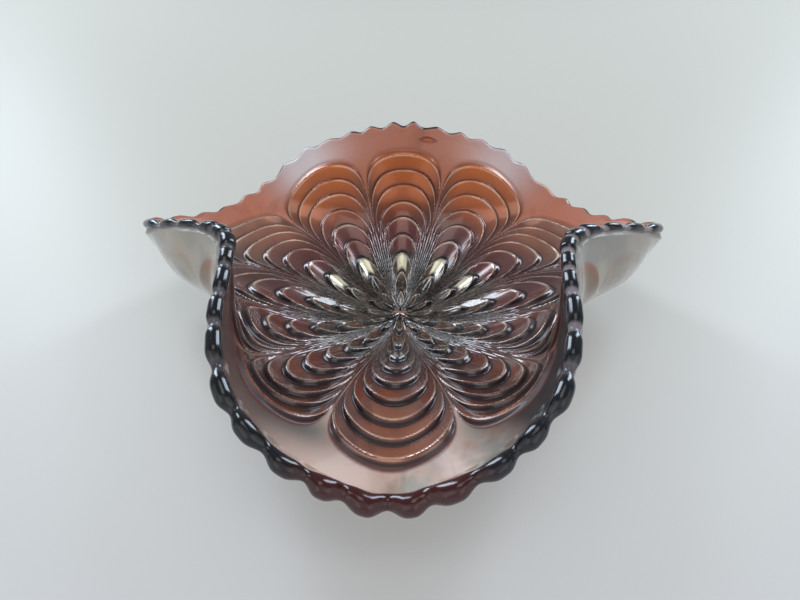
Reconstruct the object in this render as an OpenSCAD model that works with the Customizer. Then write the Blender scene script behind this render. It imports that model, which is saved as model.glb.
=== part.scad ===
// Three-cornered carnival glass bowl, in millimetres.
// The origin is on the table, in the middle of the foot. +Z is up. The front corner points along -Y,
// and the two pointed side corners lie along +X and -X.
// The glass is pressed in one piece. Its zones are kept as separate solids that meet face to face.

/* [Bowl] */
// Distance from the centre to the lip at a pointed side corner
reach = 83; // [76:0.5:90]
// Height of the two raised folds above the table, at the middle of the glass
rise = 45; // [40:0.5:51]
// Thickness of the glass
wall = 4; // [3.5:0.1:4.4]

/* [Well] */
// Radius of the round floor
well_radius = 29; // [26:0.5:32]
// Height that the floor gains from its middle to its edge
dish = 5.3; // [4:0.1:6]

/* [Foot] */
// Gap between the table and the underside of the middle of the floor
lift = 2.8; // [2:0.1:4]
// Width of the ring that stands on the table
collar_width = 4.5; // [3.5:0.25:5.5]

/* [Rim] */
// Number of scallops round the lip
scallops = 54; // [36:6:60]
// Radius of the thick bead that runs along the lip
bead_radius = 2.5; // [2.3:0.1:3]
// Height of each scallop beyond the dips beside it
scallop_height = 1.2; // [0.4:0.1:1.6]

/* [Plumes] */
// Number of plumes pressed into the inside of the wall
plumes = 12; // [9:1:18]
// How far the middle of a plume stands above the crease between two plumes
swell = 0.8; // [0.2:0.1:1]

/* [Hidden] */
// The lip from the front corner round to the middle of the back; the other half mirrors it.
// Each row: bearing in degrees, share of the reach, share of the rise, slope of the glass at the lip.
lip = [
    [0, 0.94, 0.36, 0],
    [15, 0.94, 0.525, 15],
    [28, 0.895, 0.715, 45],
    [40, 0.78, 0.86, 80],
    [52, 0.665, 0.95, 102],
    [65, 0.61, 1.00, 112],
    [76, 0.655, 0.985, 118],
    [86, 0.78, 0.90, 108],
    [94, 0.905, 0.76, 84],
    [101, 1.00, 0.635, 52],
    [108, 0.965, 0.54, 40],
    [120, 0.905, 0.455, 26],
    [135, 0.895, 0.48, 22],
    [150, 0.85, 0.74, 35],
    [165, 0.81, 0.855, 45],
    [180, 0.775, 0.925, 62],
];
last_station = len(lip) - 1;
half_wall = wall / 2;
floor_height = lift + half_wall;
well_edge_height = floor_height + dish;
well_edge_slope = atan(2 * dish / well_radius);
floor_rings = 8;
// Length of each handle of the wall's curve, as a share of the straight line from well to lip
pull = 0.52;
wall_rings = 8;
steps_per_scallop = 4;
steps = scallops * steps_per_scallop;
bead_points = 9;
// Angle from the lip's own direction to the place where the bead runs back into the wall
bead_sweep = 130;
bead_offset = 0.8 * bead_radius;
foot_chamfer = 0.4;
// Hair's breadth left between zones, so that curved faces never cut into each other
seam = 0.01;
difference_step = 0.01;
$fn = 180;

// ---- The lip, smoothed between its stations ----

// Bearing counted from the front corner, whichever side it is on
function folded(bearing) =
    let (turn = (bearing + 360) % 360)
    min(turn, 360 - turn);

function station_before(bearing, index = 0) =
    index == last_station - 1 || bearing < lip[index + 1][0] ? index : station_before(bearing, index + 1);

function gradient(index, column) =
    index == 0 || index == last_station
        ? 0
        : (lip[index + 1][column] - lip[index - 1][column]) / (lip[index + 1][0] - lip[index - 1][0]);

function smoothed(bearing, column) =
    let (
        place = folded(bearing),
        index = station_before(place),
        gap = lip[index + 1][0] - lip[index][0],
        t = (place - lip[index][0]) / gap
    )
    (2 * t ^ 3 - 3 * t ^ 2 + 1) * lip[index][column]
        + (t ^ 3 - 2 * t ^ 2 + t) * gap * gradient(index, column)
        + (3 * t ^ 2 - 2 * t ^ 3) * lip[index + 1][column]
        + (t ^ 3 - t ^ 2) * gap * gradient(index + 1, column);

// ---- The middle surface of the wall ----

// A cubic curve in the upright plane at this bearing, from the edge of the well to the lip
function wall_profile(bearing, u) =
    let (
        start = [well_radius + seam, well_edge_height],
        end = [reach * smoothed(bearing, 1), rise * smoothed(bearing, 2)],
        handle = pull * norm(end - start),
        slope = smoothed(bearing, 3),
        start_handle = start + handle * [cos(well_edge_slope), sin(well_edge_slope)],
        end_handle = end - handle * [cos(slope), sin(slope)]
    )
    (1 - u) ^ 3 * start
        + 3 * u * (1 - u) ^ 2 * start_handle
        + 3 * u ^ 2 * (1 - u) * end_handle
        + u ^ 3 * end;

function wall_point(bearing, u) =
    let (profile = wall_profile(bearing, u))
    [profile[0] * sin(bearing), -profile[0] * cos(bearing), profile[1]];

function unit(vector) = vector / norm(vector);

// Direction from the well towards the lip, lying in the glass
function wall_outward(bearing, u) =
    unit(wall_point(bearing, u + difference_step) - wall_point(bearing, u - difference_step));

// Direction square to the glass, on the inside of the bowl
function wall_normal(bearing, u) =
    let (around = wall_point(bearing + difference_step, u) - wall_point(bearing - difference_step, u))
    unit(cross(wall_outward(bearing, u), around));

// Height of the pressed plumes, fading out at the well and at the lip
function plume_height(bearing, u) =
    swell * (abs(cos(plumes * bearing / 2)) - 0.6) * sin(180 * u);

function inside_point(bearing, u) =
    wall_point(bearing, u) + (half_wall + plume_height(bearing, u)) * wall_normal(bearing, u);

function outside_point(bearing, u) =
    wall_point(bearing, u) - half_wall * wall_normal(bearing, u);

function wall_section(bearing) = [
    for (ring = [0:wall_rings])
        inside_point(bearing, ring / wall_rings),
    for (ring = [wall_rings:-1:0])
        outside_point(bearing, ring / wall_rings),
];

// ---- The beaded rim ----

// 1 at the crown of a scallop and -1 in a dip; a dip lies on the front corner
function scallop_wave(bearing) = -cos(scallops * bearing);

function rim_section(bearing) =
    let (
        outward = wall_outward(bearing, 1),
        normal = wall_normal(bearing, 1),
        edge = wall_point(bearing, 1) + seam * outward,
        wave = scallop_wave(bearing),
        radius = bead_radius * (1 + 0.1 * wave),
        centre = edge + (bead_offset + scallop_height / 2 * (1 + wave)) * outward
    )
    [
        edge + half_wall * normal,
        for (point = [0:bead_points - 1])
            let (angle = bead_sweep * (1 - 2 * point / (bead_points - 1)))
            centre + radius * (cos(angle) * outward + sin(angle) * normal),
        edge - half_wall * normal,
    ];

// ---- Closed ring made by carrying a section once round the bowl ----

// Each four-sided patch is split along one diagonal; leaning picks which one, so that the end of one
// zone and the start of the next are split alike.
module ring_solid(sections, leaning) {
    count = len(sections[0]);
    points = [for (section = sections) each section];
    faces = [
        for (step = [0:len(sections) - 1], index = [0:count - 1])
            let (
                next_step = (step + 1) % len(sections),
                next_index = (index + 1) % count,
                a = step * count + index,
                b = step * count + next_index,
                c = next_step * count + next_index,
                d = next_step * count + index
            )
            each leaning ? [[a, b, d], [b, c, d]] : [[a, b, c], [a, c, d]],
    ];
    polyhedron(points, faces, convexity = 8);
}

function bearing_at(step) = (step + 0.5) * 360 / steps;

// ---- Floor and foot ----

// Point on the floor's profile; side is 1 for the top and -1 for the underside
function floor_point(ring, side) =
    let (
        share = ring / floor_rings,
        slope = atan(2 * dish * share / well_radius)
    )
    [
        share * well_radius - side * half_wall * sin(slope),
        floor_height + dish * share ^ 2 + side * half_wall * cos(slope),
    ];

module collar_base() {
    top_outer = floor_point(floor_rings, -1);
    top_inner = floor_point(floor_rings - 1, -1);
    foot_radius = top_outer[0] - 1;
    foot_inner = foot_radius - collar_width;
    color("DimGray")
        rotate_extrude()
            polygon([
                [foot_inner + foot_chamfer, 0],
                [foot_radius - foot_chamfer, 0],
                [foot_radius, foot_chamfer],
                top_outer - [0, seam],
                top_inner - [0, seam],
                [foot_inner, foot_chamfer],
            ]);
}

module well_floor() {
    color("Peru")
        rotate_extrude()
            polygon([
                for (ring = [0:floor_rings])
                    floor_point(ring, -1),
                for (ring = [floor_rings:-1:0])
                    floor_point(ring, 1),
            ]);
}

module plume_wall() {
    color("Sienna")
        ring_solid([for (step = [0:steps - 1]) wall_section(bearing_at(step))], false);
}

module scalloped_rim() {
    color("MidnightBlue")
        ring_solid([for (step = [0:steps - 1]) rim_section(bearing_at(step))], true);
}

collar_base();
well_floor();
plume_wall();
scalloped_rim();
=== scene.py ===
"""Three-cornered carnival glass bowl: the detailed look of each glass zone, on a pale floor in soft light.

All lengths are in metres, in the frame of the CAD: the origin is on the table in the middle of the foot,
+Z is up and the front corner points along -Y. A bearing is an angle in degrees from the front corner
towards +X.
"""
import math

import bpy
import numpy as np
from mathutils import Matrix, Vector


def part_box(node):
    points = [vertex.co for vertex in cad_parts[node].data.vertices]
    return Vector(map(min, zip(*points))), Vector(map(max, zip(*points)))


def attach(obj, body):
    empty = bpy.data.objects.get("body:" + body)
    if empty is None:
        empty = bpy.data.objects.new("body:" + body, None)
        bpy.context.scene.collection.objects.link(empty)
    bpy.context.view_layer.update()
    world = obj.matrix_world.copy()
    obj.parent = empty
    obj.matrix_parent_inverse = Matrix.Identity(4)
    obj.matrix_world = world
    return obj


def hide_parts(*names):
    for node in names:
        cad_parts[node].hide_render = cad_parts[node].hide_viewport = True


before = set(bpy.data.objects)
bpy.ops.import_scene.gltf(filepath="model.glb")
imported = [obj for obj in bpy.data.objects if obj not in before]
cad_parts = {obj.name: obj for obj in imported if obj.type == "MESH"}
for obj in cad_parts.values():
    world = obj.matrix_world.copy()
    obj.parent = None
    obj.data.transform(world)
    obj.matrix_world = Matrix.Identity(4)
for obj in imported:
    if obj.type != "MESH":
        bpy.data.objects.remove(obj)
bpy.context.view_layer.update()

MM = 0.001

# ---- Shape of the bent glass, the same as in the CAD ----

REACH = 83 * MM
RISE = 45 * MM
WALL = 4 * MM
WELL_RADIUS = 29 * MM
DISH = 5.3 * MM
LIFT = 2.8 * MM
PULL = 0.52
PLUMES = 12
SCALLOPS = 54
# Rows: bearing, share of the reach, share of the rise, slope of the glass at the lip in degrees
LIP = np.array([
    [0, 0.94, 0.36, 0],
    [15, 0.94, 0.525, 15],
    [28, 0.895, 0.715, 45],
    [40, 0.78, 0.86, 80],
    [52, 0.665, 0.95, 102],
    [65, 0.61, 1.00, 112],
    [76, 0.655, 0.985, 118],
    [86, 0.78, 0.90, 108],
    [94, 0.905, 0.76, 84],
    [101, 1.00, 0.635, 52],
    [108, 0.965, 0.54, 40],
    [120, 0.905, 0.455, 26],
    [135, 0.895, 0.48, 22],
    [150, 0.85, 0.74, 35],
    [165, 0.81, 0.855, 45],
    [180, 0.775, 0.925, 62],
])
HALF_WALL = WALL / 2
FLOOR_HEIGHT = LIFT + HALF_WALL
WELL_EDGE_HEIGHT = FLOOR_HEIGHT + DISH
WELL_EDGE_SLOPE = math.atan(2 * DISH / WELL_RADIUS)


def folded(bearing):
    """Bearing to either side of the front corner, from 0 at the front to 180 at the back."""
    turn = np.mod(bearing, 360)
    return np.minimum(turn, 360 - turn)


def how_far_back(bearing):
    """0 at the front corner and 1 in the middle of the back."""
    return 0.5 - 0.5 * np.cos(np.radians(bearing))


def smoothed(bearing, column):
    """A column of LIP at any bearing, smooth between its stations and mirrored left to right."""
    stations, values = LIP[:, 0], LIP[:, column]
    gradient = np.zeros(len(LIP))
    gradient[1:-1] = (values[2:] - values[:-2]) / (stations[2:] - stations[:-2])
    place = folded(bearing)
    i = np.clip(np.searchsorted(stations, place, side="right") - 1, 0, len(LIP) - 2)
    gap = stations[i + 1] - stations[i]
    t = (place - stations[i]) / gap
    return (
        (2 * t**3 - 3 * t**2 + 1) * values[i]
        + (t**3 - 2 * t**2 + t) * gap * gradient[i]
        + (3 * t**2 - 2 * t**3) * values[i + 1]
        + (t**3 - t**2) * gap * gradient[i + 1]
    )


def on_bearing(bearing, radius, height):
    """Points at a radius and height on a bearing."""
    turn = np.radians(bearing)
    return np.stack(np.broadcast_arrays(radius * np.sin(turn), -radius * np.cos(turn), height), -1)


def wall_middle(bearing, u):
    """Middle surface of the wall: a cubic curve at each bearing, from the edge of the well to the lip."""
    end_radius = REACH * smoothed(bearing, 1)
    end_height = RISE * smoothed(bearing, 2)
    slope = np.radians(smoothed(bearing, 3))
    handle = PULL * np.hypot(end_radius - WELL_RADIUS, end_height - WELL_EDGE_HEIGHT)
    weights = [(1 - u) ** 3, 3 * u * (1 - u) ** 2, 3 * u**2 * (1 - u), u**3]
    radii = [
        WELL_RADIUS,
        WELL_RADIUS + handle * math.cos(WELL_EDGE_SLOPE),
        end_radius - handle * np.cos(slope),
        end_radius,
    ]
    heights = [
        WELL_EDGE_HEIGHT,
        WELL_EDGE_HEIGHT + handle * math.sin(WELL_EDGE_SLOPE),
        end_height - handle * np.sin(slope),
        end_height,
    ]
    radius = sum(w * r for w, r in zip(weights, radii))
    height = sum(w * h for w, h in zip(weights, heights))
    return on_bearing(bearing, radius, height)


def floor_middle(bearing, share):
    """Middle surface of the floor, for a share of the well's radius."""
    return on_bearing(bearing, share * WELL_RADIUS, FLOOR_HEIGHT + DISH * share**2)


def unit(vectors):
    return vectors / np.linalg.norm(vectors, axis=-1, keepdims=True)


def surface_frame(surface, bearing, u, step=1e-3):
    """Directions in the surface away from the centre, and square to it on the inside of the bowl."""
    outward = unit(surface(bearing, u + step) - surface(bearing, u - step))
    around = surface(bearing + step, u) - surface(bearing - step, u)
    return outward, unit(np.cross(outward, around))


# ---- Relief pressed into the inside ----

# Distance from the centre to the top of each nested arch on a plume's own axis, measured over the glass
ARCHES = np.array([10.5, 20, 28.6, 37.5, 46, 53.5, 61, 67.3, 73.3]) * MM
FULL_LENGTH = 83.8 * MM
STEP_SHARE = 0.22
RELIEF = 1.05 * MM
RIBS = 240
RIB_HEIGHT = 0.20 * MM
# Width given to the plain band above the last arch, and the longest distance an arch can have
BAND_WIDTH = 12 * MM
LONGEST = 160 * MM
HALVINGS = 24


def smoothstep(low, high, value):
    t = np.clip((value - low) / (high - low), 0, 1)
    return t * t * (3 - 2 * t)


def leg_rate(arch):
    """How fast an arch falls away from its top: inner arches are narrow, the outermost is broad."""
    tops = np.array([0, 22, 36, 48, 61, 73.3, 90]) * MM
    return np.interp(arch, tops, [0.70, 0.56, 0.39, 0.25, 0.15, 0.07, 0.02])


def roundness(arch):
    """Power that shapes the top of an arch: petals in the well are pointed, the outer arches are round."""
    return np.interp(arch, np.array([0, 22, 36, 61]) * MM, [1.35, 1.5, 1.9, 2.15])


def arch_through(across, along):
    """Top distance of the arch that passes through each point of a plume.

    across is 0 on the plume's axis and 1 at the crease with the next plume; along is the distance from the
    centre over the glass.
    """
    offset = np.clip(np.abs(across), 1e-4, 1)
    low, high = np.array(along), np.full_like(along, LONGEST)
    for _ in range(HALVINGS):
        middle = (low + high) / 2
        fall = -np.log(np.clip(1 - offset ** roundness(middle), 1e-6, 1))
        under = middle * (1 - leg_rate(middle) * fall) < along
        low, high = np.where(under, middle, low), np.where(under, high, middle)
    return (low + high) / 2


def pattern(bearing, along, points):
    """Relief height and masks for a grid of points on the middle surface (bearing by distance)."""
    turn = np.cos(np.radians(bearing))
    side_stretch = 0.045 * smoothstep(0.95, 0.6, turn) * smoothstep(-0.1, 0.3, turn)
    front_stretch = 0.016 * smoothstep(0.90, 0.99, turn)
    back_stretch = 0.028 * smoothstep(-0.6, -0.95, turn)
    stretch = 1.03 - 0.028 * turn**2 + side_stretch + back_stretch + front_stretch
    pitch = 360 / PLUMES
    across = (np.mod(bearing + pitch / 2, pitch) - pitch / 2) / (pitch / 2)
    arch = arch_through(np.broadcast_to(across, along.shape), along / stretch)
    band = np.searchsorted(ARCHES, arch)
    edges = np.concatenate([[0], ARCHES, [ARCHES[-1] + BAND_WIDTH, 1]])
    inner, outer = edges[band], edges[band + 1]
    part = (arch - inner) / (outer - inner)
    # Real distance between neighbouring arches here, from how fast the arch number changes
    per_row = np.gradient(arch, axis=1) / np.linalg.norm(np.gradient(points, axis=1), axis=-1)
    per_column = np.gradient(arch, axis=0) / np.linalg.norm(np.gradient(points, axis=0), axis=-1)
    spacing = np.minimum(outer - inner, 9 * MM) / np.maximum(np.hypot(per_row, per_column), 1)
    depth = np.minimum(RELIEF, 0.21 * spacing)
    plain = smoothstep(0, 0.25, (arch - ARCHES[-1]) / BAND_WIDTH)
    falling = 1 - smoothstep(0, STEP_SHARE, part)
    rising = np.clip((part - STEP_SHARE) / (1 - STEP_SHARE), 0, 1) ** 1.2
    lip_line = np.exp(-((1 - part) / 0.05) ** 2)
    beyond = arch > ARCHES[-1]
    height = np.where(beyond, falling, np.maximum(falling, rising) + 0.12 * lip_line) * depth
    ridge = np.where(beyond, 0, smoothstep(0.86, 0.97, part)) * smoothstep(0.4 * MM, 1.5 * MM, spacing)
    groove = smoothstep(0.03, 0.12, part) * (1 - smoothstep(STEP_SHARE, STEP_SHARE + 0.10, part))
    # Fine ribs that fan out between the petals
    between = smoothstep(0.40, 0.75, np.abs(across)) * smoothstep(9 * MM, 15 * MM, along)
    between = between * (1 - smoothstep(36 * MM, 52 * MM, along))
    rib = 0.5 + 0.5 * np.cos(np.radians(bearing * RIBS))
    height = height * (1 - 0.5 * between) + RIB_HEIGHT * rib * between
    # Masks for painted light: ridge for the painted highlight on arch lips, groove for the dark steps and
    # ribs, shadow and outer_step for painted shade
    return {
        "height": height,
        "ridge": ridge,
        "groove": np.maximum(groove * (1 - 0.5 * between), 0.8 * between * (1 - rib)),
        "outer_step": np.where(beyond, smoothstep(0.13, 0.19, part), 0),
        "shadow": np.where(beyond, 0, (1 - part) ** 1.5),
        "plain": plain,
        "arch": arch,
        "across": np.broadcast_to(np.abs(across), along.shape),
    }


# ---- Mesh helpers ----


def closed_in_turn(columns, rows, wrap_rows):
    """Faces of a grid of columns by rows that closes on itself round the bowl."""
    column = np.arange(columns)[:, None]
    row = np.arange(rows if wrap_rows else rows - 1)[None]
    next_column = (column + 1) % columns
    next_row = (row + 1) % rows
    corners = [
        column * rows + row,
        column * rows + next_row,
        next_column * rows + next_row,
        next_column * rows + row,
    ]
    return np.stack(np.broadcast_arrays(*corners), -1).reshape(-1, 4)


def make_piece(name, points, quads, normals, attributes, material, caps=()):
    """A smooth mesh object with its own normals and one number per vertex for each attribute."""
    mesh = bpy.data.meshes.new(name)
    faces = [tuple(face) for face in quads.tolist()] + [tuple(face) for face in caps]
    mesh.from_pydata(points.reshape(-1, 3).tolist(), [], faces)
    for label, values in attributes.items():
        layer = mesh.attributes.new(label, "FLOAT", "POINT")
        layer.data.foreach_set("value", np.ascontiguousarray(values, np.float32).ravel())
    mesh.materials.append(material)
    mesh.polygons.foreach_set("use_smooth", [True] * len(mesh.polygons))
    if normals is not None:
        mesh.normals_split_custom_set_from_vertices(normals.reshape(-1, 3).tolist())
    mesh.update()
    piece = bpy.data.objects.new(name, mesh)
    bpy.context.scene.collection.objects.link(piece)
    return piece


def grid_normals(points):
    """Normals of a grid of points that closes on itself round the bowl."""
    around = np.roll(points, -1, axis=0) - np.roll(points, 1, axis=0)
    along = np.gradient(points, axis=1)
    return unit(np.cross(along, around))


# ---- Materials ----

FLOOR_GLOW = 0.2


class Nodes:
    """Short-hand for building a material's node tree."""

    def __init__(self, name):
        self.material = bpy.data.materials.new(name)
        self.material.use_nodes = True
        self.tree = self.material.node_tree
        self.shader = self.tree.nodes["Principled BSDF"]

    def node(self, kind, **settings):
        made = self.tree.nodes.new(kind)
        for key, value in settings.items():
            setattr(made, key, value)
        return made

    def plug(self, source, socket):
        """Links a socket, or sets it to a plain value."""
        if isinstance(source, bpy.types.NodeSocket):
            self.tree.links.new(source, socket)
        else:
            socket.default_value = source

    def attribute(self, name):
        return self.node("ShaderNodeAttribute", attribute_name=name).outputs["Fac"]

    def noise(self, scale, detail=3.0, roughness=0.5, distortion=0.0):
        coordinates = self.node("ShaderNodeTexCoord").outputs["Object"]
        made = self.node("ShaderNodeTexNoise")
        self.plug(coordinates, made.inputs["Vector"])
        made.inputs["Scale"].default_value = scale
        made.inputs["Detail"].default_value = detail
        made.inputs["Roughness"].default_value = roughness
        made.inputs["Distortion"].default_value = distortion
        return made.outputs["Fac"]

    def ramp(self, source, low, high, out_low=0.0, out_high=1.0):
        made = self.node("ShaderNodeMapRange", interpolation_type="SMOOTHSTEP")
        for value, socket in zip((source, low, high, out_low, out_high), made.inputs):
            self.plug(value, socket)
        return made.outputs["Result"]

    def math(self, operation, first, second):
        made = self.node("ShaderNodeMath", operation=operation)
        self.plug(first, made.inputs[0])
        self.plug(second, made.inputs[1])
        return made.outputs["Value"]

    def mix(self, share, first, second, blend="MIX"):
        made = self.node("ShaderNodeMix", data_type="RGBA", blend_type=blend)
        self.plug(share, made.inputs[0])
        self.plug(first, made.inputs[6])
        self.plug(second, made.inputs[7])
        return made.outputs[2]

    def bump(self, height, strength, distance):
        made = self.node("ShaderNodeBump")
        made.inputs["Strength"].default_value = strength
        made.inputs["Distance"].default_value = distance
        self.plug(height, made.inputs["Height"])
        self.plug(made.outputs["Normal"], self.shader.inputs["Normal"])

    def gloss(self, **values):
        for key, value in values.items():
            self.plug(value, self.shader.inputs[key.replace("_", " ")])


def srgb(red, green, blue):
    """A linear colour from the usual 0 to 255 numbers."""
    values = [c / 255 for c in (red, green, blue)]
    return (*[v / 12.92 if v <= 0.04045 else ((v + 0.055) / 1.055) ** 2.4 for v in values], 1)


def band_film(n):
    """Colour of the plain band: rose and grey-green at the front, copper at the back, with a painted pink
    sheen beside the back and painted shade beside the front folds.
    """
    back = n.attribute("back")
    cloudy = n.noise(28, 4, 0.55, 0.6)
    patchy = n.noise(60, 3, 0.6, 1.2)
    front = n.mix(n.ramp(cloudy, 0.50, 0.64, 0, 0.8), srgb(204, 172, 158), srgb(112, 120, 110))
    front = n.mix(n.ramp(back, 0.02, 0.12, 0, 0.8), front, srgb(146, 88, 68))
    film = n.mix(n.ramp(back, 0.3, 0.7), front, srgb(190, 116, 90))
    film = n.mix(n.ramp(patchy, 0.50, 0.32, 0, 0.6), film, srgb(160, 88, 58))
    green = n.math("MULTIPLY", n.attribute("verdigris"), n.ramp(patchy, 0.15, 0.5))
    film = n.mix(green, film, srgb(92, 94, 88))
    # Painted reflection: a pale pink sheen of the windows on the band beside the back
    film = n.mix(n.attribute("sheen"), film, srgb(226, 212, 216))
    # Painted shade: dark on the band near the lip beside the front folds
    return n.mix(n.attribute("shade"), film, srgb(30, 17, 16))


def inside_glass():
    """Iridescent film over amethyst glass, brown to orange on the plumes and rose on the plain band."""
    n = Nodes("iridescent_glass")
    back = n.attribute("back")
    reach = n.attribute("reach")
    cloudy = n.noise(28, 4, 0.55, 0.6)
    patchy = n.noise(60, 3, 0.6, 1.2)
    fine = n.noise(420, 3, 0.6)
    plume_front = n.mix(n.ramp(patchy, 0.35, 0.65), srgb(106, 52, 38), srgb(158, 86, 52))
    plume_back = n.mix(n.ramp(patchy, 0.3, 0.7), srgb(154, 66, 24), srgb(194, 96, 32))
    plume = n.mix(n.ramp(back, 0.25, 0.85), plume_front, plume_back)
    # Painted shade: the side walls are darker at the front, where they face away from the light; they are
    # lighter at the back, with grey-green patches of the film
    flank_tone_and_shade = n.mix(n.ramp(patchy, 0.42, 0.58), srgb(92, 66, 62), srgb(112, 94, 80))
    flank_tone_and_shade = n.mix(n.ramp(back, 0.6, 0.9), flank_tone_and_shade, srgb(190, 146, 128))
    flank_tone_and_shade = n.mix(n.ramp(cloudy, 0.55, 0.68, 0, 0.7), flank_tone_and_shade, srgb(78, 92, 92))
    plume = n.mix(n.attribute("flank"), plume, flank_tone_and_shade)
    plume = n.mix(n.ramp(reach, 0.74, 0.46), plume, n.mix(back, srgb(92, 56, 56), srgb(110, 56, 56)))
    plume = n.mix(n.ramp(cloudy, 0.55, 0.72, 0, 0.4), plume, srgb(96, 92, 92))
    plain = n.attribute("plain")
    colour = n.mix(plain, plume, band_film(n))
    # Painted glow: orange light shining through the thin glass of the back plumes
    colour = n.mix(n.attribute("glow"), colour, srgb(204, 100, 2))
    # Painted shade: each tread darker towards its inner side, below the step
    colour = n.mix(n.math("MULTIPLY", n.attribute("shadow"), 0.5), colour, srgb(62, 34, 36))
    # Painted shade: darker in the creases between the plumes
    colour = n.mix(n.math("MULTIPLY", n.attribute("crease"), 0.6), colour, srgb(66, 40, 42))
    well = n.mix(n.ramp(n.noise(150, 3, 0.6, 0.8), 0.35, 0.65), srgb(28, 23, 24), srgb(78, 64, 54))
    well = n.mix(n.ramp(n.noise(900, 2, 0.6), 0.50, 0.62, 0, 0.5), well, srgb(132, 112, 96))
    colour = n.mix(n.ramp(reach, 0.42, 0.33), colour, well)
    # Dark steps: the dark glass on the steep steps, with painted shade and a painted reflection of the dark
    # room; beyond the last arch a maroon painted shadow
    outer_edge = n.mix(back, srgb(84, 28, 24), srgb(140, 74, 52))
    step = n.mix(n.attribute("outer_step"), srgb(20, 18, 30), outer_edge)
    colour = n.mix(n.ramp(reach, 0.028, 0.006), colour, srgb(150, 108, 100))
    colour = n.mix(n.attribute("groove"), colour, step)
    # Painted highlight: a broken bright line along the lip of each arch
    broken = n.ramp(n.noise(110, 2, 0.6), 0.34, 0.60, 0.25, 1.0)
    colour = n.mix(n.math("MULTIPLY", n.attribute("ridge"), broken), colour, srgb(234, 208, 186))
    # Painted highlight: cream glints on the petals behind the well
    colour = n.mix(n.attribute("gleam"), colour, srgb(244, 236, 206))
    colour = n.mix(n.ramp(fine, 0.3, 0.7, 0, 0.12), colour, srgb(210, 180, 160), "SOFT_LIGHT")
    satin = n.ramp(plain, 0.0, 1.0, n.ramp(cloudy, 0.3, 0.7, 0.22, 0.30), 0.48)
    n.gloss(Base_Color=colour, Roughness=satin, IOR=1.5)
    n.gloss(Metallic=n.ramp(plain, 0.0, 1.0, 0.34, 0.12))
    lacquer = n.math("MINIMUM", n.ramp(plain, 0.0, 1.0, 1.0, 0.1), n.ramp(back, 0.6, 0.9, 1.0, 0.4))
    # Less coat on the painted shade and on the dark steps
    dark_line = n.math("MAXIMUM", n.attribute("shade"), n.attribute("groove"))
    n.gloss(Coat_Weight=n.math("MINIMUM", lacquer, n.ramp(dark_line, 0.0, 0.9, 1.0, 0.2)))
    n.gloss(Coat_Roughness=0.07, Coat_IOR=1.6)
    n.bump(n.noise(900, 2, 0.5), 0.06, 0.0004)
    return n.material


def outside_glass():
    """Milky grey outside, with the darker plumes showing faintly through the glass."""
    n = Nodes("milky_outside_glass")
    cloudy = n.noise(24, 4, 0.55, 0.5)
    milk = n.mix(n.ramp(cloudy, 0.35, 0.65), srgb(146, 146, 144), srgb(166, 158, 148))
    milk = n.mix(n.ramp(n.noise(40, 2), 0.5, 0.68, 0, 0.7), milk, srgb(112, 126, 130))
    milk = n.mix(n.ramp(n.noise(32, 3, 0.5, 0.8), 0.52, 0.62, 0, 0.5), milk, srgb(188, 176, 154))
    through = n.mix(n.noise(70, 3), srgb(116, 84, 30), srgb(98, 66, 30))
    colour = n.mix(n.attribute("through"), milk, through)
    colour = n.mix(n.attribute("edge_line"), colour, srgb(140, 72, 46))
    n.gloss(Base_Color=colour, Roughness=n.ramp(cloudy, 0.3, 0.7, 0.18, 0.3), IOR=1.52)
    n.gloss(Coat_Weight=0.8, Coat_Roughness=0.08)
    n.bump(n.noise(160, 3), 0.08, 0.0006)
    return n.material


def rim_glass():
    """Thick lip: nearly black glass, paler in the dips and maroon at the front.

    The film of the plain band laps over its inner side, and its outer side is milky like the outside.
    """
    n = Nodes("dark_rim_glass")
    dark = n.mix(n.ramp(n.noise(90, 3), 0.4, 0.65), srgb(1, 2, 8), srgb(3, 6, 20))
    dark = n.mix(n.attribute("front"), dark, srgb(72, 10, 10))
    neck = n.mix(n.attribute("front"), srgb(150, 140, 144), srgb(70, 26, 24))
    colour = n.mix(n.attribute("neck"), dark, neck)
    coated = n.attribute("coated")
    # The band's film laps over the inner side, with its painted sheen and painted shade
    colour = n.mix(coated, colour, band_film(n))
    colour = n.mix(n.attribute("milky"), colour, srgb(158, 150, 144))
    covered = n.math("MAXIMUM", coated, n.attribute("milky"))
    n.gloss(Base_Color=colour, Roughness=n.ramp(covered, 0.0, 1.0, 0.2, 0.48))
    n.gloss(IOR=n.ramp(coated, 0.0, 1.0, 1.25, 1.5))
    bare = n.math("SUBTRACT", 1.0, n.math("MULTIPLY", n.math("MAXIMUM", covered, n.attribute("neck")), 0.85))
    n.gloss(Metallic=n.math("MULTIPLY", coated, 0.12), Coat_Weight=bare, Coat_Roughness=0.15, Coat_IOR=1.5)
    n.gloss(Coat_Tint=(0.82, 0.90, 1.0, 1))
    n.bump(n.noise(500, 2), 0.04, 0.0004)
    return n.material


def foot_glass():
    """Bare purplish grey glass, streaked and glossy."""
    n = Nodes("foot_glass")
    streaks = n.noise(50, 4, 0.6, 1.5)
    colour = n.mix(n.ramp(streaks, 0.35, 0.65), srgb(58, 44, 52), srgb(112, 96, 96))
    n.gloss(Base_Color=colour, Roughness=n.ramp(streaks, 0.3, 0.7, 0.1, 0.22), IOR=1.52)
    n.gloss(Coat_Weight=1.0, Coat_Roughness=0.05)
    n.bump(n.noise(300, 3), 0.08, 0.0005)
    return n.material


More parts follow.
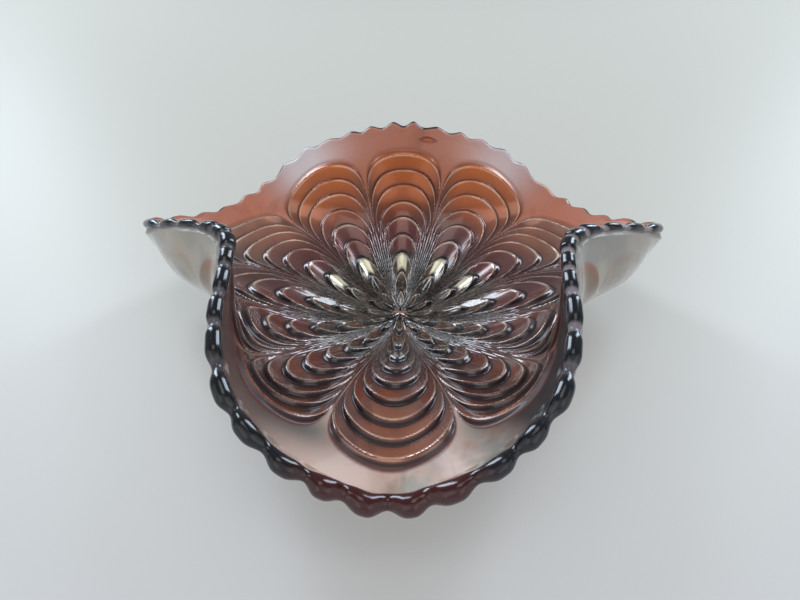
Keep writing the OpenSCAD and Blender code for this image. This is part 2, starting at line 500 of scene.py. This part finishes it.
def floor_paint():
    """Pale matt floor, lit a little from within so that the bowl's shadow stays soft, and painted paler in
    front of the bowl and darker behind it.
    """
    n = Nodes("pale_floor")
    place = n.node("ShaderNodeSeparateXYZ")
    n.plug(n.node("ShaderNodeTexCoord").outputs["Object"], place.inputs["Vector"])
    near = n.mix(n.noise(3, 2), srgb(186, 187, 190), srgb(190, 191, 194))
    # Painted light: paler in front of the bowl, where its shadow falls, and darker behind it
    colour = n.mix(n.ramp(place.outputs["Y"], -0.16, 0.08), near, srgb(168, 168, 160))
    n.gloss(Base_Color=colour, Roughness=0.45, IOR=1.4)
    n.bump(n.noise(220, 2), 0.03, 0.0005)
    n.gloss(Emission_Color=(1.0, 1.0, 1.0, 1), Emission_Strength=FLOOR_GLOW)
    return n.material


# ---- The glass ----

COLUMNS = 1440
WALL_ROWS = 190
OUTSIDE_ROWS = 48
BUBBLE_BEARING = 172.5
BUBBLE_WIDTH = 2.4
BUBBLE_REACH = 0.983
BUBBLE_LENGTH = 0.012
BUBBLE_RING_HEIGHT = 0.35 * MM
BUBBLE_PIT_DEPTH = 0.45 * MM
WELL_COLUMNS = 1440
WELL_ROWS = 84
UNDER_ROWS = 14
# Share of the well's radius that the small disc at its middle takes
WELL_START = 0.004
RAY_PITCH = 7.5
RAY_DEPTH = 0.25 * MM

material_inside = inside_glass()
material_outside = outside_glass()
material_rim = rim_glass()
material_foot = foot_glass()


def arc_lengths(points):
    """Distance over the glass from the first row, for each column."""
    steps = np.linalg.norm(np.diff(points, axis=1), axis=-1)
    return np.concatenate([np.zeros((len(points), 1)), np.cumsum(steps, axis=1)], axis=1)


def well_arc(share):
    """Distance over the floor from its middle, for a share of the well's radius."""
    shares = np.linspace(0, 1, 60)
    profile = floor_middle(0.0, shares)
    return np.interp(share, shares, arc_lengths(profile[None])[0])


WELL_ARC = float(well_arc(1.0))


def painted_pink_sheen(bearing, reach):
    """Share of painted sheen, a pale pink reflection on the plain band, on both sides of the back and
    stronger on the left.
    """
    left = 0.75 - 0.25 * np.sin(np.radians(bearing))
    beside_back = np.exp(-(((how_far_back(bearing) - 0.925) / 0.042) ** 2))
    return np.minimum(1.25 * left * beside_back * smoothstep(0.82, 0.96, reach), 1)


def band_shade(bearing, reach):
    """Share of painted shade on the plain band beside the front folds, starting sooner but weaker on the
    left.
    """
    back = how_far_back(bearing)
    right = np.sin(np.radians(bearing)) > 0
    start = np.where(right, smoothstep(0.012, 0.05, back), 0.75 * smoothstep(0.004, 0.05, back))
    return start * smoothstep(0.55, 0.35, back) * smoothstep(0.80, 0.90, reach)


def inside_attributes(bearing, reach, mask):
    """Numbers that colour the inside, from where a point lies in the pattern."""
    back = np.broadcast_to(how_far_back(bearing), reach.shape)
    # Painted glow: where light shines through the back plumes
    lit = smoothstep(0.80, 1.0, back) * smoothstep(0.55, 0.80, reach) * (1 - mask["plain"])
    lit = lit * (1 - smoothstep(0.75, 1.0, mask["across"]))
    # Painted highlight: glints on a ring of petals behind the well
    ring = smoothstep(22 * MM, 24 * MM, mask["arch"]) * (1 - smoothstep(27.6 * MM, 28.4 * MM, mask["arch"]))
    gleam = ring * smoothstep(0.55, 0.80, back) * (1 - smoothstep(0.20, 0.30, mask["across"]))
    left = 0.75 - 0.25 * np.sign(180 - bearing)
    beside_front = np.exp(-(((folded(bearing) - 20) / 11) ** 2))
    verdigris = left * beside_front * np.exp(-(((reach - 0.87) / 0.08) ** 2))
    return {
        "back": back,
        "reach": reach,
        "plain": mask["plain"],
        "groove": mask["groove"] * smoothstep(0.015, 0.05, reach)
        * (0.92 - 0.52 * smoothstep(0.55, 0.85, back) * smoothstep(0.35, 0.5, reach)),
        "ridge": mask["ridge"] * (0.45 + 0.3 * smoothstep(0.30, 0.45, reach)),
        "shadow": mask["shadow"],
        # Painted shade in the creases between the plumes
        "crease": smoothstep(0.45, 1.0, mask["across"]) * (1 - mask["plain"]) * smoothstep(0.02, 0.06, reach),
        "gleam": gleam,
        "outer_step": mask["outer_step"],
        "verdigris": 0.95 * verdigris,
        "glow": 0.9 * lit,
        "flank": np.broadcast_to(0.85 * np.abs(np.sin(np.radians(bearing))) ** 1.7, reach.shape),
        "sheen": painted_pink_sheen(bearing, reach),
        "shade": band_shade(bearing, reach),
    }


def build_wall():
    """Bent wall with its relief inside and a plain outside, as one closed shell."""
    bearing = (np.arange(COLUMNS) * 360 / COLUMNS)[:, None]
    u = np.linspace(0, 1, WALL_ROWS)[None]
    middle = wall_middle(bearing, u)
    along = arc_lengths(middle)
    along = WELL_ARC + along / along[:, -1:] * (FULL_LENGTH - WELL_ARC)
    mask = pattern(bearing, along, middle)
    normal = surface_frame(wall_middle, bearing, u)[1]
    height = mask["height"] * (1 - smoothstep(0.96, 1.0, u))
    # A burst bubble beside the back rim: a raised ring round a shallow pit
    reach = along / FULL_LENGTH
    bubble_across = (bearing - BUBBLE_BEARING) / BUBBLE_WIDTH
    bubble_distance = np.hypot(bubble_across, (reach - BUBBLE_REACH) / BUBBLE_LENGTH)
    bubble_ring = np.exp(-(((bubble_distance - 1) / 0.28) ** 2))
    bubble_pit = smoothstep(1.0, 0.5, bubble_distance)
    height = height + BUBBLE_RING_HEIGHT * bubble_ring - BUBBLE_PIT_DEPTH * bubble_pit
    inside = middle + normal * (HALF_WALL + height)[..., None]
    inside_normal = grid_normals(inside)
    outside_u = np.linspace(1, 0, OUTSIDE_ROWS)[None]
    outside_middle = wall_middle(bearing, outside_u)
    outside_normal = surface_frame(wall_middle, bearing, outside_u)[1]
    outside = outside_middle - outside_normal * HALF_WALL
    attributes = inside_attributes(bearing, reach, mask)
    attributes["groove"] = np.maximum(attributes["groove"], 0.9 * bubble_ring)
    attributes["glow"] = np.maximum(attributes["glow"], 0.3 * bubble_pit)
    # The plumes seen faintly from outside, and hardly at all under the two side plumes
    rows = np.round(outside_u[0] * (WALL_ROWS - 1)).astype(int)
    arch = mask["arch"][:, rows]
    turn = folded(bearing)
    clear = 1 - 0.85 * smoothstep(72, 77, turn) * smoothstep(110, 104, turn)
    through = clear * (1 - smoothstep(ARCHES[-1], ARCHES[-1] + 1.5 * MM, arch))
    edge_line = clear * np.exp(-(((arch - ARCHES[-1] - 0.2 * MM) / (1.2 * MM)) ** 2))
    blank_inside, blank_outside = np.zeros_like(reach), np.zeros_like(through)
    attributes = {key: np.concatenate([value, blank_outside], axis=1) for key, value in attributes.items()}
    attributes["through"] = np.concatenate([blank_inside, through], axis=1)
    attributes["edge_line"] = np.concatenate([blank_inside, 0.9 * edge_line], axis=1)
    points = np.concatenate([inside, outside], axis=1)
    normals = np.concatenate([inside_normal, -outside_normal], axis=1)
    quads = closed_in_turn(COLUMNS, points.shape[1], wrap_rows=True)
    piece = make_piece("plume_wall_glass", points, quads, normals, attributes, material_inside)
    piece.data.materials.append(material_outside)
    first_row = quads[:, 0] % points.shape[1]
    piece.data.polygons.foreach_set("material_index", (first_row >= WALL_ROWS - 1).astype(np.int32))
    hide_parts("plume_wall")
    return piece


def build_well():
    """Dished floor with the middle of the pattern on top and a plain underside."""
    bearing = (np.arange(WELL_COLUMNS) * 360 / WELL_COLUMNS)[:, None]
    share = np.linspace(WELL_START, 1, WELL_ROWS)[None]
    middle = floor_middle(bearing, share)
    along = np.broadcast_to(well_arc(share), middle.shape[:2])
    mask = pattern(bearing, along, middle)
    normal = surface_frame(floor_middle, bearing, share, 1e-4)[1]
    # Fine rays between the petals
    rays = np.abs(np.mod(bearing / RAY_PITCH, 1) - 0.5) * 2
    ray_depth = RAY_DEPTH * smoothstep(0.55, 0.12, share) * smoothstep(0.0, 0.15, share)
    inside = middle + normal * (HALF_WALL + mask["height"] + ray_depth * rays)[..., None]
    under_share = np.linspace(1, WELL_START, UNDER_ROWS)[None]
    under_normal = surface_frame(floor_middle, bearing, under_share, 1e-4)[1]
    under = floor_middle(bearing, under_share) - under_normal * HALF_WALL
    attributes = inside_attributes(bearing, along / FULL_LENGTH, mask)
    blank = np.zeros(under.shape[:2])
    attributes = {key: np.concatenate([value, blank], axis=1) for key, value in attributes.items()}
    attributes["through"] = np.concatenate([np.zeros(along.shape), blank + 1], axis=1)
    attributes["edge_line"] = np.concatenate([np.zeros(along.shape), blank], axis=1)
    points = np.concatenate([inside, under], axis=1)
    normals = np.concatenate([grid_normals(inside), -under_normal], axis=1)
    quads = closed_in_turn(WELL_COLUMNS, points.shape[1], wrap_rows=False)
    rows = points.shape[1]
    # The small discs at the middle, top and bottom
    top = [column * rows for column in range(WELL_COLUMNS)]
    bottom = [column * rows + rows - 1 for column in reversed(range(WELL_COLUMNS))]
    piece = make_piece(
        "well_floor_glass", points, quads, normals, attributes, material_inside, caps=[top, bottom]
    )
    piece.data.materials.append(material_outside)
    first_row = np.append(quads[:, 0] % rows, [0, rows])
    piece.data.polygons.foreach_set("material_index", (first_row >= WELL_ROWS - 1).astype(np.int32))
    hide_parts("well_floor")
    return piece


RIM_STEPS_PER_SCALLOP = 28
RIM_POINTS = 28
BEAD_RADIUS = 2.35 * MM
BEAD_SWEEP = 128
BEAD_SQUARENESS = 0.94


def hand_wobble(bearing):
    """Slow unevenness of hand-finished glass, from -1 to 1, the same every time."""
    turn = np.radians(bearing)
    return (np.sin(5 * turn + 0.8) + np.sin(11 * turn + 2.1) + np.sin(23 * turn + 4.0)) / 3


def build_rim():
    """Beaded lip: a closed ring of glass with one crown for each scallop, set on the edge of the wall."""
    count = SCALLOPS * RIM_STEPS_PER_SCALLOP
    bearing = np.arange(count) * 360 / count
    back = how_far_back(bearing)
    back_share = smoothstep(0.58, 0.70, back)
    front_share = smoothstep(0.14, 0.03, back)
    side_share = (1 - back_share) * (1 - front_share)
    turn = folded(bearing)
    tip_share = smoothstep(74, 82, turn) * smoothstep(106, 102, turn)
    slim_share = smoothstep(6, 18, turn) * smoothstep(66, 56, turn)
    dip = np.abs(np.cos(np.radians(SCALLOPS / 2 * bearing) + 0.35 * hand_wobble(bearing)))
    crown = 1 - dip ** (1.8 + 5 * side_share * (1 - 0.5 * tip_share) + 1.4 * front_share)
    edge = wall_middle(bearing[:, None], 1.0)[:, 0]
    outward, normal = (v[:, 0] for v in surface_frame(wall_middle, bearing[:, None], 1.0))
    swell = (0.85 - 0.35 * side_share + 0.3 * tip_share) * (1 - back_share) * MM
    swell = swell * (1 + 0.3 * hand_wobble(bearing + 40))
    radius = BEAD_RADIUS * (1 + 0.14 * front_share - 0.12 * back_share - 0.3 * tip_share)
    radius = radius - swell * (1 - crown)
    scallop = (1.05 - 0.65 * side_share + 0.35 * back_share) * MM * (1 + 0.4 * hand_wobble(2 * bearing))
    radius = radius - 0.45 * MM * slim_share
    raised = (0.55 - 0.25 * slim_share) * MM * (1 - back_share)
    beyond = (1.7 - 0.5 * back_share - 0.5 * front_share + 0.45 * slim_share) * MM + scallop * crown
    centre = edge + outward * beyond[:, None] + normal * raised[:, None]
    sweep = BEAD_SWEEP - 34 * back_share[:, None]
    degrees = sweep * np.linspace(1, -1, RIM_POINTS - 4)[None]
    angle = np.radians(degrees)[..., None]
    across_bead = np.sign(np.cos(angle)) * np.abs(np.cos(angle)) ** BEAD_SQUARENESS
    through_bead = np.sign(np.sin(angle)) * np.abs(np.sin(angle)) ** BEAD_SQUARENESS
    spoke = across_bead * outward[:, None] + through_bead * normal[:, None]
    ring = centre[:, None] + radius[:, None, None] * spoke
    inner_edge = (edge + normal * HALF_WALL)[:, None]
    outer_edge = (edge - normal * HALF_WALL)[:, None]
    points = np.concatenate([
        inner_edge, (inner_edge * 2 + ring[:, :1]) / 3,
        ring,
        (outer_edge * 2 + ring[:, -1:]) / 3, outer_edge,
    ], axis=1)
    ends = np.ones((count, 1))
    degrees = np.concatenate([180 * ends, 150 * ends, degrees, -150 * ends, -180 * ends], axis=1)
    dark_from = 46 + 14 * hand_wobble(3 * bearing)[:, None]
    coated = smoothstep(dark_from, dark_from + 20, degrees) * smoothstep(0.50, 0.66, back)[:, None]
    coated = np.maximum(coated, smoothstep(116, 128, degrees))
    neck = side_share * smoothstep(0.60, 0.20, crown) * (0.68 + 0.32 * np.sin(np.radians(bearing)))
    attributes = {
        "front": np.broadcast_to(smoothstep(0.025, 0.005, back)[:, None], points.shape[:2]),
        "neck": np.broadcast_to(neck[:, None], points.shape[:2]),
        "coated": coated,
        "milky": smoothstep(-108, -124, degrees),
        "back": np.broadcast_to(back[:, None], points.shape[:2]),
        # The painted sheen and painted shade of the band carry on over the lip
        "sheen": np.broadcast_to(painted_pink_sheen(bearing, 1.0)[:, None], points.shape[:2]),
        "shade": np.broadcast_to(band_shade(bearing, 1.0)[:, None], points.shape[:2]),
        "verdigris": np.zeros(points.shape[:2]),
    }
    quads = closed_in_turn(count, points.shape[1], wrap_rows=True)
    piece = make_piece("scalloped_rim_glass", points, quads, grid_normals(points), attributes, material_rim)
    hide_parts("scalloped_rim")
    return piece


FOOT_COLUMNS = 240


def build_foot():
    """Collar with rounded standing edges and a shallow waist under the bowl."""
    low, high = (np.array(corner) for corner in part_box("collar_base"))
    top_radius, top = high[0], high[2]
    outline = [
        (top_radius - 3.9 * MM, top - 1.3 * MM),
        (top_radius - 4.6 * MM, top * 0.5),
        (top_radius - 5.2 * MM, 0.9 * MM),
        (top_radius - 5.0 * MM, 0.25 * MM),
        (top_radius - 4.4 * MM, 0.0),
        (top_radius - 2.2 * MM, 0.0),
        (top_radius - 1.4 * MM, 0.3 * MM),
        (top_radius - 1.1 * MM, 1.1 * MM),
        (top_radius - 1.4 * MM, 2.4 * MM),
        (top_radius - 1.2 * MM, top * 0.62),
        (top_radius - 0.3 * MM, top * 0.88),
        (top_radius - 0.02 * MM, top - 0.05 * MM),
    ]
    bearing = (np.arange(FOOT_COLUMNS) * 360 / FOOT_COLUMNS)[:, None]
    radii, heights = np.array(outline).T
    points = on_bearing(bearing, radii[None], heights[None])
    quads = closed_in_turn(FOOT_COLUMNS, len(outline), wrap_rows=True)
    piece = make_piece("collar_base_glass", points, quads, None, {}, material_foot)
    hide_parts("collar_base")
    return piece


for piece in (build_foot(), build_well(), build_wall(), build_rim()):
    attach(piece, "root")


# ---- Floor, light and camera ----

HALF_FLOOR = 4.0


def build_stage():
    """Flat square floor under the bowl."""
    mesh = bpy.data.meshes.new("floor")
    signs = [(-1, -1), (1, -1), (1, 1), (-1, 1)]
    corners = [(HALF_FLOOR * x, HALF_FLOOR * y, 0) for x, y in signs]
    mesh.from_pydata(corners, [], [(0, 1, 2, 3)])
    mesh.materials.append(floor_paint())
    floor = bpy.data.objects.new("floor", mesh)
    bpy.context.scene.collection.objects.link(floor)


def area_light(name, place, target, size, power, colour):
    """A rectangular lamp that faces its target."""
    light = bpy.data.lights.new(name, "AREA")
    light.shape = "RECTANGLE"
    light.size, light.size_y = size
    light.energy = power
    light.color = colour
    lamp = bpy.data.objects.new(name, light)
    lamp.location = place
    lamp.rotation_euler = (Vector(target) - Vector(place)).to_track_quat("-Z", "Y").to_euler()
    bpy.context.scene.collection.objects.link(lamp)


# The camera looks past the front corner at a point just above the table
CAMERA_BEARING = 1.92
CAMERA_ELEVATION = 38.0
CAMERA_DISTANCE = 210.5 * MM
CAMERA_AIM_HEIGHT = 5 * MM
CAMERA_TILT = 1.69
CAMERA_ROLL = -0.46
LENS_MM = 29.1


def build_camera():
    elevation, bearing = math.radians(CAMERA_ELEVATION), math.radians(CAMERA_BEARING)
    away = Vector((
        math.sin(bearing) * math.cos(elevation), -math.cos(bearing) * math.cos(elevation), math.sin(elevation)
    ))
    place = Vector((0, 0, CAMERA_AIM_HEIGHT)) + away * CAMERA_DISTANCE
    turn = (-away).to_track_quat("-Z", "Y").to_matrix()
    turn = turn @ Matrix.Rotation(math.radians(CAMERA_TILT), 3, "X")
    turn = turn @ Matrix.Rotation(math.radians(CAMERA_ROLL), 3, "Z")
    data = bpy.data.cameras.new("camera")
    data.lens = LENS_MM
    data.clip_start = 0.01
    camera = bpy.data.objects.new("camera", data)
    camera.matrix_world = Matrix.Translation(place) @ turn.to_4x4()
    bpy.context.scene.collection.objects.link(camera)
    bpy.context.scene.camera = camera


ROOM_COLOUR = (0.88, 0.92, 0.94, 1)
ROOM_STRENGTH = 0.32
COOL = (0.76, 0.88, 1.0)
WARM = (1.0, 0.97, 0.92)
SOFT_WHITE = (1.0, 0.98, 0.96)
WINDOW_SIZE = (0.24, 0.62)
SIDE_FILL_SIZE = (1.50, 1.10)
SIDE_FILL_POWER = 2.6


def build_light():
    """Two tall windows behind the bowl, a ceiling lamp, and wide soft fills in front and at both sides."""
    world = bpy.data.worlds.new("room")
    world.use_nodes = True
    background = world.node_tree.nodes["Background"]
    background.inputs["Color"].default_value = ROOM_COLOUR
    background.inputs["Strength"].default_value = ROOM_STRENGTH
    bpy.context.scene.world = world
    centre = (0, 0, 0.02)
    area_light("window_left", (-0.52, 0.56, 0.52), centre, WINDOW_SIZE, 4.3, COOL)
    area_light("window_right", (0.52, 0.56, 0.52), centre, WINDOW_SIZE, 3.9, COOL)
    area_light("ceiling_lamp", (0.0, -0.12, 0.95), centre, (0.45, 0.45), 0.9, WARM)
    area_light("front_fill", (0.0, -1.30, 0.80), centre, (3.00, 1.60), 5.6, SOFT_WHITE)
    area_light("fill_left", (-0.85, -0.75, 0.32), centre, SIDE_FILL_SIZE, SIDE_FILL_POWER, SOFT_WHITE)
    area_light("fill_right", (0.85, -0.75, 0.32), centre, SIDE_FILL_SIZE, SIDE_FILL_POWER, SOFT_WHITE)


build_stage()
build_camera()
build_light()
bpy.context.scene.view_settings.view_transform = "Standard"
